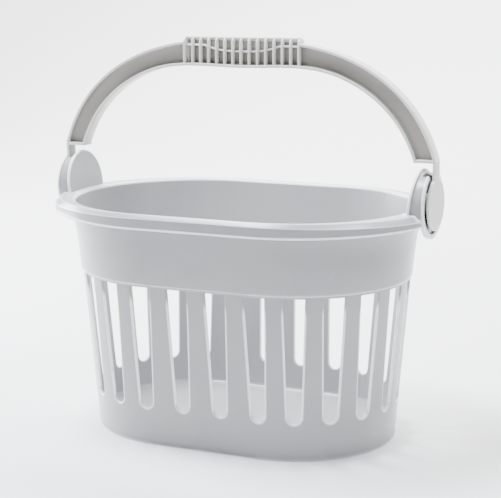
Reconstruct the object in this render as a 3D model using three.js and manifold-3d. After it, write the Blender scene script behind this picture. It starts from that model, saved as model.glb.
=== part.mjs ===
// Shower basket with a swinging handle.
// Millimetres, +Z up, +X to the right, -Y to the front; the origin is the centre of the foot on the ground.
import * as THREE from 'three';
import { mergeVertices } from 'three/addons/utils/BufferGeometryUtils.js';
import Module from 'manifold-3d';

const wasm = await Module();
wasm.setup();

// Driving dimensions
const overallLength = 310.2;
const overallWidth = 196.8;
const overallHeight = 305;
const rimTop = 181;
const wall = 2.2;
const gap = 0.3;
const runningFit = 0.1;
const sideClearance = 0.4;
const slack = 10;

// Straps at the handle's ends, which set where the ears and the round ends of the tub stand
const strap = 2.2;
const strapOuter = overallLength / 2;
const strapInner = strapOuter - strap;

// Plan: a stadium, two straight sides with round ends
const rimRadius = overallWidth / 2;
const rimEndExtra = 12.6;
const rimEndInset = 0.1;
const straightHalf = strapOuter - rimRadius - rimEndExtra - rimEndInset;
const endSteps = 30;

// Tub, radii of the round ends at the heights named
const stepDrop = 55.9;
const stepHeight = rimTop - stepDrop;
const stepRise = 2.1;
const stepOut = 1.24;
const bandInset = 9.79;
const bandRadius = rimRadius - bandInset;
const bandDraftShare = 0.107;
const wallDraftShare = 0.0845;
const footRadius = bandRadius - stepOut - wallDraftShare * stepHeight;
const footEdge = 0.9;
const innerRadius = footRadius - wall;
const kinkDrop = 3.1;
const innerKink = stepHeight - kinkDrop;
const innerUpperDraftShare = 0.124;
const floorTop = 7.4;
const floorFillet = 3.5;
const footRecess = floorTop - wall;

// Rim, an upturned U in section
const rimDepth = 11.4;
const rimFoot = rimTop - rimDepth;
const rimRound = 3;
const rimLip = 1.8;
const rimThick = 2.4;
const rimCeiling = rimTop - rimThick;
const rimShoulder = 3.8;
const rimInner = rimRadius - rimShoulder;
const rimInnerDrop = 2.8;
const rimEndLift = 2.2;
const coveDepth = 26.6;
const coveStart = rimCeiling - coveDepth;
const coveReach = 9.5;
const covePower = 2.4;

// Drain slots in the wall and drain holes in the floor
const slotFoot = 29.4;
const slotTopGap = 0.2;
const slotTop = stepHeight - slotTopGap;
const slotHalfTop = 8;
const slotHalfFoot = 5.3;
const slotCorner = 0.6;
const slotPitch = 31;
const slotsPerSide = Math.floor(2 * straightHalf / slotPitch);
const slotPitchAngle = 0.342;
const slotsPerEnd = 10;
const slotLead = 14.6;
const slotInside = innerRadius - slotLead;
const slotThrough = 40;
const drainRadius = 3;
const drainRow = 20;

// Ears: an inner plate, a round neck with an open cup and a collar
const pivotRise = 4.7;
const pivotHeight = rimTop + pivotRise;
const collarThick = 1.7;
const collarFace = strapInner - sideClearance;
const collarBack = collarFace - collarThick;
const collarPlate = 1.4;
const cupDepth = 11;
const plateFace = collarBack - cupDepth;
const plateLeanShare = 0.103;
const plateLip = 1.5;
const collarLip = 0.7;
const collarInset = 1;
const cupWall = 2;
const neckRadius = 24.8;
const neckDrop = 6.2;
const neckFoot = rimTop - neckDrop;
const neckStart = plateFace + wall / 2;
const plateRadius = neckRadius + plateLip;
const collarRadius = neckRadius + collarLip;
const cupRadius = neckRadius - cupWall;
const cupFloor = neckFoot + cupWall;
const collarHole = cupRadius - collarInset;
const frontMargin = 0.5;
const frontHalf = collarRadius + frontMargin;
const frontRise = 1.9;
const frontFoot = rimFoot + frontRise;
const notchHalf = 12;
const notchRise = 14.3;
const notchFoot = pivotHeight + notchRise;
const notchDepth = 1.2;
const stubRadius = 5;
const stubChamfer = 0.6;

// Handle: an I-section arch, a ribbed grip, two straps with discs
const handleHalf = 5.65;
const flange = 2.15;
const web = 2;
const gripHalf = 47.6;
const armGap = 4.5;
const armEnd = pivotHeight + plateRadius + armGap;
const armEndLength = 17.2;
const armEndInner = strapOuter - armEndLength;
const archSwell = 7.06;
const archHalf = strapOuter + archSwell;
const archSink = 1.29;
const archTop = overallHeight - archSink;
const archFootShare = 0.67286;
const archFoot = armEnd - archFootShare * (archTop - armEnd);
const archRise = archTop - archFoot;
const archPower = 2.55;
const archStart = 0.3;
const archSteps = 44;
const armDepth = 16.54;
const crownDepth = 5.3;
const crownRun = 39.07;
const crownReach = gripHalf + crownRun;
const discRadius = 19.2;
const discEdge = 0.4;
const socketInner = stubRadius + runningFit;
const socketWall = 2.9;
const socketRadius = socketInner + socketWall;
const socketGap = 2.4;
const socketStart = plateFace + wall + socketGap;
const gripRibs = 13;
const ribPitch = 2 * gripHalf / (gripRibs + 1);
const ribThick = 1.3;
const endRibThick = 1.6;
const gripTop = overallHeight;
const gripCrown = 1.7;
const gripCrownHalf = 2.6;
const ribTopDrop = 5.2;
const ribTopHalf = 2;
const ribFootRise = 3;
const ribFootHalf = 3.2;
const ledgeDrop = 5.8;
const ledgeHeight = gripTop - ledgeDrop;
const ledgeDip = 4.4;
const ledgeReach = 31;
const ledgeThick = 1.3;
const ledgeHalf = 3.7;
const ledgeSteps = 18;
const ledgePower = 3;

const curve = 5;
const round = 40;

// Frames that carry a flat outline (across, up) and its thickness into the room
const xAxis = new THREE.Vector3(1, 0, 0);
const yAxis = new THREE.Vector3(0, 1, 0);
const zAxis = new THREE.Vector3(0, 0, 1);

function toSolid(geometry) {
  const bare = geometry.clone();
  bare.deleteAttribute('normal');
  bare.deleteAttribute('uv');
  const merged = mergeVertices(bare);
  return new wasm.Manifold(new wasm.Mesh({
    numProp: 3,
    vertProperties: new Float32Array(merged.attributes.position.array),
    triVerts: new Uint32Array(merged.index.array),
  }));
}

function toGeometry(solid) {
  const mesh = solid.getMesh();
  const geometry = new THREE.BufferGeometry();
  geometry.setAttribute('position', new THREE.BufferAttribute(new Float32Array(mesh.vertProperties), 3));
  geometry.setIndex(new THREE.BufferAttribute(new Uint32Array(mesh.triVerts), 1));
  geometry.computeVertexNormals();
  return geometry;
}

// One level of the plan: radius of the round ends, extra length of the ends, height and end lift
function ring(radius, height, extra = 0, lift = 0) {
  const points = [];
  for (const side of [1, -1]) {
    for (let i = 0; i <= endSteps; i += 1) {
      const angle = Math.PI * (i / endSteps - 1 / 2);
      const x = straightHalf + (radius + extra) * Math.cos(angle);
      const y = radius * Math.sin(angle);
      points.push(new THREE.Vector3(side * x, side * y, height + lift * Math.cos(angle) ** 2));
    }
  }
  return points;
}

// A closed body through levels that all have the same number of points
function loft(levels) {
  const count = levels[0].length;
  const positions = levels.flat().flatMap((point) => point.toArray());
  const foot = levels.length * count;
  const head = foot + 1;
  const last = (levels.length - 1) * count;
  positions.push(0, 0, levels[0][0].z);
  positions.push(0, 0, levels[levels.length - 1][0].z);
  const faces = [];
  for (let i = 0; i < count; i += 1) {
    const next = (i + 1) % count;
    for (let level = 0; level + 1 < levels.length; level += 1) {
      const low = level * count;
      const high = low + count;
      faces.push(low + i, low + next, high + next);
      faces.push(low + i, high + next, high + i);
    }
    faces.push(foot, next, i);
    faces.push(head, last + i, last + next);
  }
  const geometry = new THREE.BufferGeometry();
  geometry.setAttribute('position', new THREE.Float32BufferAttribute(positions, 3));
  geometry.setIndex(faces);
  return toSolid(geometry);
}

// An outline (across, up) given a thickness along a normal, from a start point
function slab(shape, across, up, start, thickness, steps = curve) {
  const geometry = new THREE.ExtrudeGeometry(shape, { depth: thickness, bevelEnabled: false, curveSegments: steps });
  const normal = new THREE.Vector3().crossVectors(across, up);
  geometry.applyMatrix4(new THREE.Matrix4().makeBasis(across, up, normal).setPosition(start));
  return geometry;
}

// A slab whose outline is drawn in (y, z) and whose thickness runs along x
function alongX(shape, from, to, steps = curve) {
  return slab(shape, yAxis, zAxis, new THREE.Vector3(from, 0, 0), to - from, steps);
}

// A slab whose outline is drawn in (x, z), with equal thickness to the front and the back
function alongY(shape, half, steps = curve) {
  return toSolid(slab(shape, xAxis, zAxis, new THREE.Vector3(0, half, 0), 2 * half, steps));
}

function boxBetween(low, high) {
  const size = new THREE.Vector3().subVectors(high, low);
  const centre = new THREE.Vector3().addVectors(low, high).multiplyScalar(1 / 2);
  return toSolid(new THREE.BoxGeometry(size.x, size.y, size.z).translate(centre.x, centre.y, centre.z));
}

function disc(radius, from, to, edge = 0) {
  const profile = [
    new THREE.Vector2(0, from),
    new THREE.Vector2(radius, from),
    new THREE.Vector2(radius, to - edge),
    new THREE.Vector2(radius - edge, to),
    new THREE.Vector2(0, to),
  ];
  const kept = edge > 0 ? profile : profile.filter((point, index) => index !== 3);
  const geometry = new THREE.LatheGeometry(kept, round);
  const frame = new THREE.Matrix4().makeBasis(yAxis, xAxis, new THREE.Vector3(0, 0, -1));
  geometry.applyMatrix4(frame.setPosition(0, 0, pivotHeight));
  return toSolid(geometry);
}

function arch(foot, half) {
  const shape = new THREE.Shape();
  shape.moveTo(-half, foot);
  shape.lineTo(half, foot);
  shape.lineTo(half, pivotHeight);
  shape.absarc(0, pivotHeight, half, 0, Math.PI);
  shape.closePath();
  return shape;
}

// Leans a geometry outwards with height, about the rim's top
function leaned(geometry) {
  const points = geometry.attributes.position;
  for (let i = 0; i < points.count; i += 1) {
    points.setX(i, points.getX(i) + plateLeanShare * (points.getZ(i) - rimTop));
  }
  return toSolid(geometry);
}

function outerRadius(height) {
  return footRadius + wallDraftShare * height;
}

function innerRadiusAt(height) {
  const lower = Math.min(height, innerKink);
  const upper = Math.max(height - innerKink, 0);
  return innerRadius + wallDraftShare * lower + innerUpperDraftShare * upper;
}

function tubShell() {
  const band = (height) => bandRadius + bandDraftShare * (height - stepHeight - stepRise);
  const cove = (height) => coveReach * Math.max((height - coveStart) / (rimCeiling - coveStart), 0) ** covePower;
  const coveLevels = [0, 1, 2, 3].map((i) => {
    const height = coveStart + (rimCeiling - coveStart) * i / 4;
    return ring(band(height), height, cove(height));
  });
  return loft([
    ring(footRadius - footEdge, 0),
    ring(outerRadius(footEdge), footEdge),
    ring(outerRadius(stepHeight), stepHeight),
    ring(bandRadius, stepHeight + stepRise),
    ...coveLevels,
    ring(band(rimCeiling), rimCeiling + gap, coveReach),
  ]);
}

function rimShell() {
  const roundLevels = [0, 1, 2, 3].map((i) => {
    const angle = Math.PI / 6 * i;
    const radius = rimRadius - rimRound * (1 - Math.cos(angle));
    return ring(radius, rimTop - rimRound * (1 - Math.sin(angle)), rimEndExtra);
  });
  const outside = loft([
    ring(rimRadius - rimLip / 3, rimFoot, rimEndExtra, rimEndLift),
    ring(rimRadius, rimFoot + rimLip / 3, rimEndExtra, rimEndLift),
    ...roundLevels,
  ]);
  const hollow = loft([
    ring(rimRadius - rimLip, rimFoot - slack, rimEndExtra),
    ring(rimRadius - rimLip, rimCeiling - rimLip / 2, rimEndExtra),
    ring(rimRadius - rimLip - rimLip / 2, rimCeiling, rimEndExtra),
  ]);
  return outside.subtract(hollow);
}

function tubInside() {
  const fillet = [0, 1, 2, 3].map((i) => {
    const angle = Math.PI / 6 * i;
    const height = floorTop + floorFillet * (1 - Math.cos(angle));
    return ring(innerRadiusAt(floorTop + floorFillet) - floorFillet * (1 - Math.sin(angle)), height);
  });
  const turn = rimTop - rimInnerDrop;
  const lipRun = rimInner - innerRadiusAt(turn);
  const lip = [0, 1, 2, 3].map((i) => {
    const angle = Math.PI / 6 * i;
    return ring(rimInner - lipRun * Math.cos(angle), turn + rimInnerDrop * Math.sin(angle));
  });
  return loft([
    ...fillet,
    ring(innerRadiusAt(innerKink), innerKink),
    ...lip,
    ring(rimInner, rimTop + slack),
  ]);
}

function slotShape() {
  const shape = new THREE.Shape();
  const centre = slotFoot + slotHalfFoot;
  shape.moveTo(-slotHalfFoot, centre);
  shape.absarc(0, centre, slotHalfFoot, Math.PI, 2 * Math.PI);
  shape.lineTo(slotHalfTop, slotTop - slotCorner);
  shape.quadraticCurveTo(slotHalfTop, slotTop, slotHalfTop - slotCorner, slotTop);
  shape.lineTo(slotCorner - slotHalfTop, slotTop);
  shape.quadraticCurveTo(-slotHalfTop, slotTop, -slotHalfTop, slotTop - slotCorner);
  shape.closePath();
  return shape;
}

function slots() {
  const shape = slotShape();
  const places = [];
  for (const side of [1, -1]) {
    for (let i = 0; i < slotsPerEnd; i += 1) {
      const turn = Math.PI / 2 + slotPitchAngle * (i - (slotsPerEnd - 1) / 2);
      places.push([side * straightHalf, side * turn]);
    }
  }
  for (let i = 0; i < slotsPerSide; i += 1) {
    const centre = slotPitch * (i - (slotsPerSide - 1) / 2);
    places.push([centre, 0], [centre, Math.PI]);
  }
  return places.map(([centre, turn]) => {
    const normal = new THREE.Vector3(Math.sin(turn), -Math.cos(turn), 0);
    const across = new THREE.Vector3().crossVectors(zAxis, normal);
    const start = new THREE.Vector3(centre, 0, 0).addScaledVector(normal, slotInside);
    return toSolid(slab(shape, across, zAxis, start, slotThrough, curve));
  });
}

function drains() {
  const holes = [];
  for (const row of [drainRow, -drainRow]) {
    for (const place of [-3, -1, 1, 3]) {
      const hole = new THREE.CylinderGeometry(drainRadius, drainRadius, floorTop + slack, 3 * curve);
      hole.rotateX(Math.PI / 2).translate(place * slotPitch / 2, row, floorTop);
      holes.push(toSolid(hole));
    }
  }
  return holes;
}

// What one ear adds to the rim and what it takes away, at the right-hand end
function ear() {
  const plate = leaned(alongX(arch(rimCeiling, plateRadius), plateFace, plateFace + wall, 3 * curve));
  const neck = toSolid(alongX(arch(neckFoot, neckRadius), neckStart, collarBack, 3 * curve));
  const collar = disc(collarRadius, collarBack - gap, collarFace, discEdge);
  const backBelow = boxBetween(
    new THREE.Vector3(collarBack - collarPlate, -collarRadius, pivotHeight - collarRadius),
    new THREE.Vector3(collarBack, collarRadius, cupFloor),
  );
  const back = disc(collarRadius, collarBack - collarPlate, collarBack).intersect(backBelow);
  const front = boxBetween(
    new THREE.Vector3(collarBack - collarPlate, -frontHalf, frontFoot),
    new THREE.Vector3(collarBack, frontHalf, rimTop),
  );
  const cup = leaned(alongX(arch(cupFloor, cupRadius), plateFace + wall, collarBack + slack, 3 * curve));
  const cupEnd = boxBetween(
    new THREE.Vector3(plateFace, -frontHalf, neckFoot),
    new THREE.Vector3(collarBack, frontHalf, pivotHeight + collarRadius),
  );
  const recess = disc(collarHole, collarBack - gap, collarFace + slack);
  const notch = boxBetween(
    new THREE.Vector3(collarBack - notchDepth, -notchHalf, notchFoot),
    new THREE.Vector3(collarFace + slack, notchHalf, notchFoot + collarRadius),
  );
  const stub = disc(stubRadius, plateFace + wall / 2, strapInner - 2 * gap, stubChamfer);
  const body = neck.add(collar).add(back).add(front).add(plate);
  return body.subtract(cup.intersect(cupEnd)).subtract(recess).subtract(notch).add(stub);
}

function basketSolid() {
  const end = ear();
  const endRoom = boxBetween(
    new THREE.Vector3(collarBack - collarPlate, -frontHalf, frontFoot - slack),
    new THREE.Vector3(collarBack + slack, frontHalf, rimTop + slack),
  );
  const cupRoom = boxBetween(
    new THREE.Vector3(plateFace + wall, -cupRadius, cupFloor),
    new THREE.Vector3(collarBack, cupRadius, rimTop + slack),
  );
  const recess = loft([ring(innerRadius - gap, -slack), ring(innerRadius - gap, footRecess)]);
  let body = tubShell().add(rimShell()).subtract(endRoom).subtract(cupRoom);
  body = body.subtract(endRoom.rotate([0, 0, 180])).subtract(cupRoom.rotate([0, 0, 180]));
  body = body.subtract(tubInside()).subtract(recess);
  for (const cut of [...slots(), ...drains()]) {
    body = body.subtract(cut);
  }
  return body.add(end).add(end.rotate([0, 0, 180]));
}

// Points of the arch: the outside, the inside and the faces of both flanges
function archPoints() {
  const rows = [];
  for (let i = 0; i <= archSteps; i += 1) {
    const angle = archStart + (Math.PI - 2 * archStart) * i / archSteps;
    const across = Math.abs(Math.cos(angle)) ** (2 / archPower);
    const up = Math.sin(angle) ** (2 / archPower);
    const side = Math.sign(Math.cos(angle));
    const outer = new THREE.Vector2(side * archHalf * across, archFoot + archRise * up);
    const slope = side * across ** (archPower - 1) / archHalf;
    const normal = new THREE.Vector2(slope, up ** (archPower - 1) / archRise).normalize();
    const share = Math.min(Math.abs(outer.x) / crownReach, 1);
    const depth = armDepth + crownDepth * Math.cos(Math.PI / 2 * share) ** 2;
    const at = (distance) => outer.clone().addScaledVector(normal, -distance);
    rows.push({ outer, inner: at(depth), underTop: at(flange), overFoot: at(depth - flange) });
  }
  return rows;
}

function strip(upper, lower) {
  return new THREE.Shape([...upper, ...lower.slice().reverse()]);
}

function rect(left, bottom, right, top) {
  const shape = new THREE.Shape();
  shape.moveTo(left, bottom);
  shape.lineTo(right, bottom);
  shape.lineTo(right, top);
  shape.lineTo(left, top);
  shape.closePath();
  return shape;
}

// The grip's cross-section (y, z) at a rib, rounded at the head and the foot
function ribShape(foot) {
  const top = gripTop - gripCrown / 2;
  const shape = new THREE.Shape();
  shape.moveTo(-ribFootHalf, foot);
  shape.lineTo(ribFootHalf, foot);
  shape.quadraticCurveTo(handleHalf, foot, handleHalf, foot + ribFootRise);
  shape.lineTo(handleHalf, top - ribTopDrop);
  shape.quadraticCurveTo(handleHalf, top, ribTopHalf, top);
  shape.lineTo(-ribTopHalf, top);
  shape.quadraticCurveTo(-handleHalf, top, -handleHalf, top - ribTopDrop);
  shape.lineTo(-handleHalf, foot + ribFootRise);
  shape.quadraticCurveTo(-handleHalf, foot, -ribFootHalf, foot);
  return shape;
}

function grip(rows) {
  const inside = rows.filter((row) => Math.abs(row.inner.x) <= gripHalf);
  const foot = Math.max(...inside.map((row) => row.inner.y));
  let body = alongY(rect(-gripHalf, foot, gripHalf, gripTop - gripCrown / 2), web / 2);
  body = body.add(alongY(rect(-gripHalf, gripTop - gripCrown, gripHalf, gripTop), gripCrownHalf));
  for (let i = 1; i <= gripRibs; i += 1) {
    const place = ribPitch * i - gripHalf;
    body = body.add(toSolid(alongX(ribShape(foot), place - ribThick / 2, place + ribThick / 2)));
  }
  for (const side of [1, -1]) {
    const place = side * gripHalf;
    body = body.add(toSolid(alongX(ribShape(foot), place - endRibThick / 2, place + endRibThick / 2)));
  }
  const line = [];
  for (let i = 0; i <= ledgeSteps; i += 1) {
    const x = gripHalf * (2 * i / ledgeSteps - 1);
    const share = Math.max(1 - (Math.abs(x) / ledgeReach) ** ledgePower, 0);
    line.push(new THREE.Vector2(x, ledgeHeight - ledgeDip * share));
  }
  const under = line.map((point) => new THREE.Vector2(point.x, point.y - ledgeThick));
  return body.add(alongY(strip(line, under), ledgeHalf));
}

function handleEnd() {
  let body = disc(discRadius, strapInner, strapOuter, discEdge);
  body = body.add(boxBetween(
    new THREE.Vector3(strapInner, -handleHalf, pivotHeight),
    new THREE.Vector3(strapOuter, handleHalf, armEnd + 2 * flange),
  ));
  body = body.add(boxBetween(
    new THREE.Vector3(armEndInner, -handleHalf, armEnd),
    new THREE.Vector3(strapOuter, handleHalf, armEnd + flange),
  ));
  body = body.add(disc(socketRadius, socketStart, strapInner + gap));
  return body.subtract(disc(socketInner, socketStart - slack, strapInner));
}

function handleSolid() {
  const rows = archPoints();
  const pick = (name) => rows.map((row) => row[name]);
  const arms = alongY(strip(pick('outer'), pick('inner')), web / 2);
  const footFlange = alongY(strip(pick('overFoot'), pick('inner')), handleHalf);
  const gripRoom = boxBetween(
    new THREE.Vector3(-gripHalf, -handleHalf - slack, archTop - 2 * flange - ribTopDrop),
    new THREE.Vector3(gripHalf, handleHalf + slack, overallHeight + slack),
  );
  const topFlange = alongY(strip(pick('outer'), pick('underTop')), handleHalf).subtract(gripRoom);
  const above = boxBetween(
    new THREE.Vector3(-strapOuter, -handleHalf - slack, armEnd),
    new THREE.Vector3(strapOuter, handleHalf + slack, overallHeight + slack),
  );
  const end = handleEnd();
  const bow = arms.add(footFlange).add(topFlange).intersect(above);
  return bow.add(grip(rows)).add(end).add(end.rotate([0, 0, 180]));
}

function part(name, solid, color) {
  const material = new THREE.MeshStandardMaterial({ color, roughness: 0.45, metalness: 0 });
  material.name = `${name} polypropylene`;
  const mesh = new THREE.Mesh(toGeometry(solid), material);
  mesh.name = name;
  return mesh;
}

const group = new THREE.Group();
group.name = 'shower basket';
group.add(part('basket', basketSolid(), 0xd3d6da));
group.add(part('handle', handleSolid(), 0xbdbab6));

export default group;
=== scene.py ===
"""A shower basket with a swinging handle: two polypropylene mouldings on a pale studio floor."""

import logging
import math
from dataclasses import dataclass
from enum import Enum
from functools import partial
from typing import Any, Callable, Iterable, Sequence

import bmesh
import bpy
from bpy.types import ID, Material, Mesh, Node, NodeSocket, NodeTree, Object, World
from mathutils import Matrix, Vector
from mathutils.geometry import delaunay_2d_cdt


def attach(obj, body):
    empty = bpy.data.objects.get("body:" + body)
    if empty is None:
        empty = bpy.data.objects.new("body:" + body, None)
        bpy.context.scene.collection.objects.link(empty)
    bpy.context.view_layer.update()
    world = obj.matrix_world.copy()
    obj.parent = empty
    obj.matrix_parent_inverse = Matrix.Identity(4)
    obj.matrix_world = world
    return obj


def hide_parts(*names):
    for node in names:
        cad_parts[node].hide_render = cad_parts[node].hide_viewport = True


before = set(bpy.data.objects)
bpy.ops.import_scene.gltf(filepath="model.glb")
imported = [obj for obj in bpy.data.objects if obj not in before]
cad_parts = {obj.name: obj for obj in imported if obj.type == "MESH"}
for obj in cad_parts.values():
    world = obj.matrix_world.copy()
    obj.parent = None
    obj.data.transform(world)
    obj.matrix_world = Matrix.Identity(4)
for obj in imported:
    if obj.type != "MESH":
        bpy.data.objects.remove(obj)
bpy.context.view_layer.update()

log = logging.getLogger("shower_basket")

MM = 0.001
QUARTER_TURN = math.pi / 2
FULL_TURN = 2 * math.pi
# Keeps a station that lies on a quadrant's border in the quadrant that starts there.
NUDGE = 1e-9
Flat = tuple[float, float]
Solid = tuple[float, float, float]
Row = list[Solid]
Numbers = tuple[float, ...]


def steps(low: float, high: float, count: int) -> list[float]:
    """Even steps from low to high, both included, with count gaps between them."""
    return [low + (high - low) * i / count for i in range(count + 1)]


def blend(a: float, b: float, share: float) -> float:
    """The value a share of the way from a to b."""
    return a + (b - a) * share


def arc(centre: Flat, radius: float, turns: Iterable[float]) -> list[Flat]:
    """Points on a circle at the given angles."""
    return [(centre[0] + radius * math.cos(t), centre[1] + radius * math.sin(t)) for t in turns]


def quarter_round(radius: float, count: int) -> list[Flat]:
    """A quarter round from a flat to the wall below it.

    Args:
        radius: the round's radius.
        count: how many facets it has.

    Returns:
        Pairs of (distance back from the corner, depth), from (radius, 0) to (0, radius).
    """
    turns = steps(0.0, QUARTER_TURN, count)
    return [(radius * (1 - math.sin(t)), radius * (1 - math.cos(t))) for t in turns]


class Shell:
    """Collects the points and faces of one moulded surface, in millimetres."""

    def __init__(self) -> None:
        """Start with nothing in it."""
        self.points: list[Solid] = []
        self.faces: list[tuple[int, ...]] = []

    def loft(self, rows: Sequence[Row], closed: bool = True) -> list[list[int]]:
        """Join rows of points in order by bands of quads.

        Args:
            rows: lines of points, all of one length.
            closed: whether each line is a loop.

        Returns:
            The point numbers of each row.
        """
        lines = []
        for row in rows:
            start = len(self.points)
            self.points.extend(row)
            lines.append(list(range(start, len(self.points))))
        for low, high in zip(lines, lines[1:]):
            count = len(low)
            for i in range(count if closed else count - 1):
                j = (i + 1) % count
                self.faces.append((low[i], low[j], high[j], high[i]))
        return lines

    def solid(self, rows: Sequence[Row], closed: bool = True) -> None:
        """Join rows of points into a closed solid with flat ends.

        Args:
            rows: lines of points, all of one length.
            closed: whether each line is a loop; if not, flat faces join its two ends.
        """
        lines = self.loft(rows, closed)
        self.faces += [tuple(lines[0]), tuple(lines[-1])]
        if not closed:
            self.faces += [(low[0], high[0], high[-1], low[-1]) for low, high in zip(lines, lines[1:])]

    def spin(self, profile: Sequence[Flat], height: float, count: int = 40) -> None:
        """Add a solid turned about a line along x.

        Args:
            profile: (radius, x) pairs from one end to the other.
            height: height of the line.
            count: how many points go round it.
        """
        turns = steps(0.0, FULL_TURN, count)[:-1]
        self.solid([[(x, y, z) for y, z in arc((0.0, height), radius, turns)] for radius, x in profile])

    def plate(
        self, outline: Callable[[float], list[Flat]], span: Flat, axis: int, edge: float,
        flats: Sequence[float] = (), facets: int = 3,
    ) -> None:
        """Add a flat plate with rounded edges.

        Args:
            outline: gives the outline in the other two axes, drawn in by a distance.
            span: where the plate starts and ends along its axis.
            axis: the axis that it faces.
            edge: radius of its rounded edges.
            flats: how far inside those edges flat rings run, which keep the pale edge colour, partly wear and
                partly painted highlight, off the face.
            facets: how many facets each edge has.
        """
        a, b = [i for i in range(3) if i != axis]

        def level(back: float, at: float) -> Row:
            row = []
            for flat in outline(back):
                point = [at, at, at]
                point[a], point[b] = flat
                row.append(tuple(point))
            return row

        turn = quarter_round(edge, facets)
        for flat in flats:
            turn.insert(0, (edge + flat, 0.0))
        rows = [level(back, span[0] + depth) for back, depth in turn]
        self.solid(rows + [level(back, span[1] - depth) for back, depth in reversed(turn)])

    def block(
        self, low: Solid, high: Solid, axis: int, edge: float, corner: float, flats: Sequence[float] = (),
    ) -> None:
        """Add a rectangular block with rounded edges.

        Args:
            low: its lowest corner.
            high: its highest corner.
            axis: the axis that its flat plates face.
            edge: radius of the edges of those plates.
            corner: radius of its other edges.
            flats: how far inside the edges of those plates flat rings run.
        """
        a, b = [i for i in range(3) if i != axis]
        least, facets = 0.02, 3

        def outline(back: float) -> list[Flat]:
            radius = max(corner - back, least)
            inset = back + radius
            right, left = high[a] - inset, low[a] + inset
            top, foot = high[b] - inset, low[b] + inset
            points = []
            for quadrant, centre in enumerate(((right, top), (left, top), (left, foot), (right, foot))):
                start = quadrant * QUARTER_TURN
                points += arc(centre, radius, steps(start, start + QUARTER_TURN, facets))
            return points

        self.plate(outline, (low[axis], high[axis]), axis, edge, flats)

    def turned(self) -> "Shell":
        """The same surface turned half round, for the left-hand end."""
        other = Shell()
        other.points = [(-x, -y, z) for x, y, z in self.points]
        other.faces = list(self.faces)
        return other

    def mesh(self, name: str, merge: float = 0.02) -> Mesh:
        """Make the Blender mesh, welded and with its faces pointing out.

        Args:
            name: the mesh's name.
            merge: points closer than this, in millimetres, become one.

        Returns:
            The finished mesh, smooth but for its sharp edges.
        """
        made = bpy.data.meshes.new(name)
        made.from_pydata([tuple(v * MM for v in p) for p in self.points], [], self.faces)
        work = bmesh.new()
        work.from_mesh(made)
        bmesh.ops.remove_doubles(work, verts=work.verts, dist=merge * MM)
        bmesh.ops.dissolve_degenerate(work, edges=work.edges, dist=merge * MM / 4)
        bmesh.ops.recalc_face_normals(work, faces=work.faces)
        work.to_mesh(made)
        work.free()
        smooth(made)
        return made


def smooth(mesh: Mesh, angle: float = math.radians(38)) -> None:
    """Shade a mesh smooth and mark edges sharper than the angle."""
    mesh.polygons.foreach_set("use_smooth", [True] * len(mesh.polygons))
    mesh.set_sharp_from_angle(angle=angle)
    mesh.update()


def link(name: str, data: ID) -> Object:
    """Put an object that holds this mesh, lamp or lens in the scene."""
    made = bpy.data.objects.new(name, data)
    bpy.context.scene.collection.objects.link(made)
    return made


def place(mesh: Mesh, body: str, material: Material, node: str) -> None:
    """Put a mesh in the scene as a piece that stands for a node of the frame.

    Args:
        mesh: the finished mesh, in metres.
        body: the body that it rides on.
        material: its finish.
        node: the node that it replaces, whose CAD part it hides.
    """
    piece = link(mesh.name, mesh)
    mesh.materials.clear()
    mesh.materials.append(material)
    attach(piece, body)
    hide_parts(node)
    log.info("%s: %d faces", piece.name, len(mesh.polygons))


def cut_away(mesh: Mesh, rooms: Sequence[Mesh], name: str) -> Mesh:
    """Cut closed spaces out of a mesh.

    Args:
        mesh: the mesh to cut.
        rooms: closed meshes of the spaces.
        name: the new mesh's name.

    Returns:
        A new mesh.
    """
    work = link("cut_work", mesh)
    tools = [link("cut_room", room) for room in rooms]
    for tool in tools:
        cut = work.modifiers.new("cut", "BOOLEAN")
        cut.operation = "DIFFERENCE"
        cut.solver = "EXACT"
        cut.object = tool
    bpy.context.view_layer.update()
    seen = work.evaluated_get(bpy.context.evaluated_depsgraph_get())
    result = bpy.data.meshes.new_from_object(seen)
    if not result.polygons:
        raise RuntimeError("the cut left nothing of " + mesh.name)
    for spare in [work, *tools]:
        bpy.data.objects.remove(spare)
    smooth(result)
    result.name = name
    return result


# Finishes


def linear(colour: str) -> tuple[float, float, float, float]:
    """Turn an sRGB hex colour such as "#c8cacc" into linear RGBA."""
    shares = [int(colour[i : i + 2], 16) / 255 for i in (1, 3, 5)]
    curve = [s / 12.92 if s <= 0.04045 else ((s + 0.055) / 1.055) ** 2.4 for s in shares]
    return (curve[0], curve[1], curve[2], 1.0)


def cleared(owner: Material | World) -> NodeTree:
    """The emptied node tree of a material or of the world."""
    owner.use_nodes = True
    owner.node_tree.nodes.clear()
    return owner.node_tree


def add_node(
    tree: NodeTree, kind: str, links: dict[str, Any] | None = None, **settings: Any,
) -> Node:
    """Add one shader node.

    Args:
        tree: the material's node tree.
        kind: the node's type, without the prefix that all shader nodes share.
        links: what goes into each input, by name or number: a socket, a node for its first output, or a
            value.
        settings: properties of the node itself.

    Returns:
        The new node.
    """
    node = tree.nodes.new("ShaderNode" + kind)
    for name, value in settings.items():
        setattr(node, name, value)
    for name, value in (links or {}).items():
        socket = node.inputs[int(name)] if name.isdigit() else node.inputs[name]
        if isinstance(value, Node):
            value = value.outputs[0]
        if isinstance(value, NodeSocket):
            tree.links.new(value, socket)
        else:
            socket.default_value = value
    return node


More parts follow.
